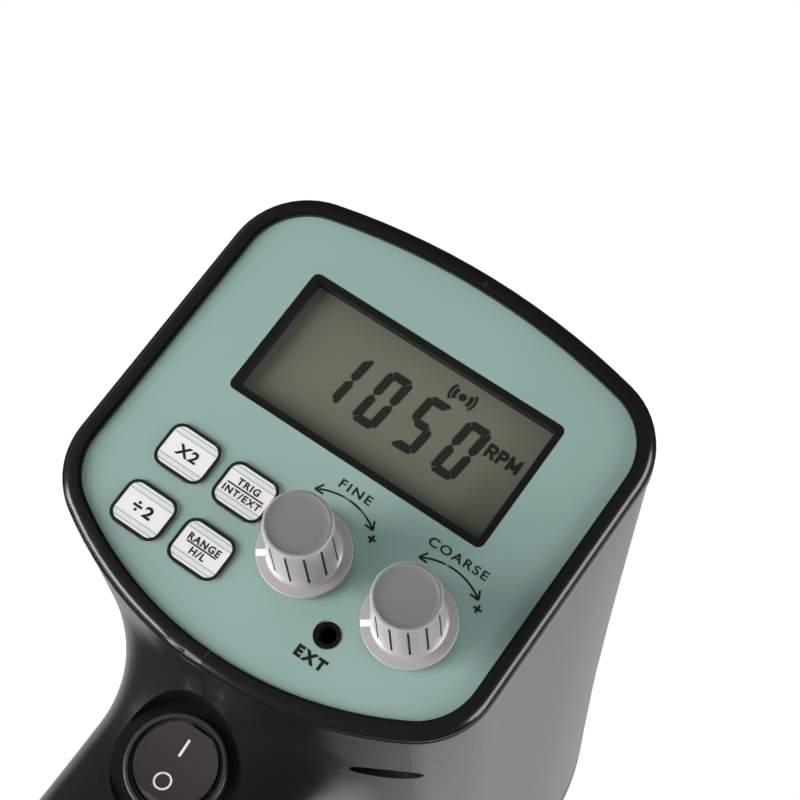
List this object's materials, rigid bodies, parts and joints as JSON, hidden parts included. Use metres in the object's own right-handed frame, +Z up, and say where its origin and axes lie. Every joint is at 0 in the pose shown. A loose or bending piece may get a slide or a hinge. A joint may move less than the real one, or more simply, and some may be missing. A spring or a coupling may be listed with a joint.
{
  "type": "xenon stroboscope",
  "caption": "Hand-held xenon stroboscope: round-fronted black barrel on a pistol grip, with a teal rear panel carrying a display, keys and two speed knobs.",
  "frame": {"origin": "mouth of the tripod bush in the foot of the grip", "axes": "+X to the right seen from behind, +Y the way the light leaves, +Z up the grip; the panel faces -Y"},
  "size_m": [0.116, 0.2317, 0.208],
  "materials": {
    "housing": "moulded black, slightly glossy",
    "panel": "printed teal film",
    "display_frame": "black",
    "display": "olive-grey liquid-crystal cell",
    "key": "white with black marks",
    "knob": "pearly grey",
    "knob_cap": "grey cap",
    "switch_black": "black",
    "foot": "black",
    "inner_plastic": "black moulding",
    "clear": "clear window",
    "tube_glass": "clear glass",
    "mirror_finish": "bright aluminised",
    "ceramic": "off-white ceramic",
    "steel": "plated steel",
    "brass": "bare brass",
    "rubber": "black rubber",
    "board": "green circuit board",
    "can": "sleeved aluminium can",
    "iron": "lacquered laminations",
    "winding": "taped winding",
    "film_capacitor": "yellow box"
  },
  "bodies": {
    "body": {"housing_left": "housing", "housing_right": "housing", "housing_screws": "steel", "front_ring": "housing", "lens": "clear", "lens_gasket": "rubber", "lens_retainer": "housing", "reflector": "mirror_finish", "lamp_carrier": "inner_plastic", "tube_base": "ceramic", "flash_tube": "tube_glass", "electrodes": "steel", "trigger_coil": "winding", "panel_film": "panel", "panel_plate": "inner_plastic", "display_bezel": "display_frame", "display_glass": "display", "display_connectors": "rubber", "display_board": "board", "board_screws": "steel", "tactile_switches": "inner_plastic", "potentiometers": "steel", "pot_nuts": "steel", "trigger_socket": "switch_black", "power_switch": "switch_black", "switch_terminals": "brass", "foot_plate": "foot", "tripod_bush": "brass", "mains_inlet": "switch_black", "inlet_pins": "steel", "power_board": "board", "discharge_capacitor": "can", "capacitor_clamp": "steel", "transformer_core": "iron", "transformer_winding": "winding", "pulse_capacitor": "film_capacitor", "regulator": "inner_plastic", "small_capacitors": "can", "fuse": "tube_glass", "fuse_clips": "steel"},
    "fine_knob_body": {"fine_knob": "knob", "fine_knob_cap": "knob_cap", "fine_knob_shaft": "steel"},
    "coarse_knob_body": {"coarse_knob": "knob", "coarse_knob_cap": "knob_cap", "coarse_knob_shaft": "steel"},
    "rocker_body": {"power_rocker": "switch_black"},
    "double_key_body": {"double_key": "key"},
    "trigger_key_body": {"trigger_key": "key"},
    "halve_key_body": {"halve_key": "key"},
    "range_key_body": {"range_key": "key"}
  },
  "joints": [
    {"name": "fine_turn", "type": "hinge", "parent": "body", "child": "fine_knob_body", "pos_m": [0.0032, -0.05, 0.1292], "axis": [0, 1, 0], "range_deg": [-150, 150]},
    {"name": "coarse_turn", "type": "hinge", "parent": "body", "child": "coarse_knob_body", "pos_m": [0.0295, -0.05, 0.1292], "axis": [0, 1, 0], "range_deg": [-150, 150]},
    {"name": "power_tip", "type": "hinge", "parent": "body", "child": "rocker_body", "pos_m": [0, -0.015, 0.0824], "axis": [1, 0, 0], "range_deg": [0, 20]},
    {"name": "double_press", "type": "slide", "parent": "body", "child": "double_key_body", "axis": [0, 1, 0], "range_m": [0, 0.0004], "stiffness_N_per_m": 500, "springref_m": -0.0005},
    {"name": "trigger_press", "type": "slide", "parent": "body", "child": "trigger_key_body", "axis": [0, 1, 0], "range_m": [0, 0.0004], "stiffness_N_per_m": 500, "springref_m": -0.0005},
    {"name": "halve_press", "type": "slide", "parent": "body", "child": "halve_key_body", "axis": [0, 1, 0], "range_m": [0, 0.0004], "stiffness_N_per_m": 500, "springref_m": -0.0005},
    {"name": "range_press", "type": "slide", "parent": "body", "child": "range_key_body", "axis": [0, 1, 0], "range_m": [0, 0.0004], "stiffness_N_per_m": 500, "springref_m": -0.0005}
  ]
}
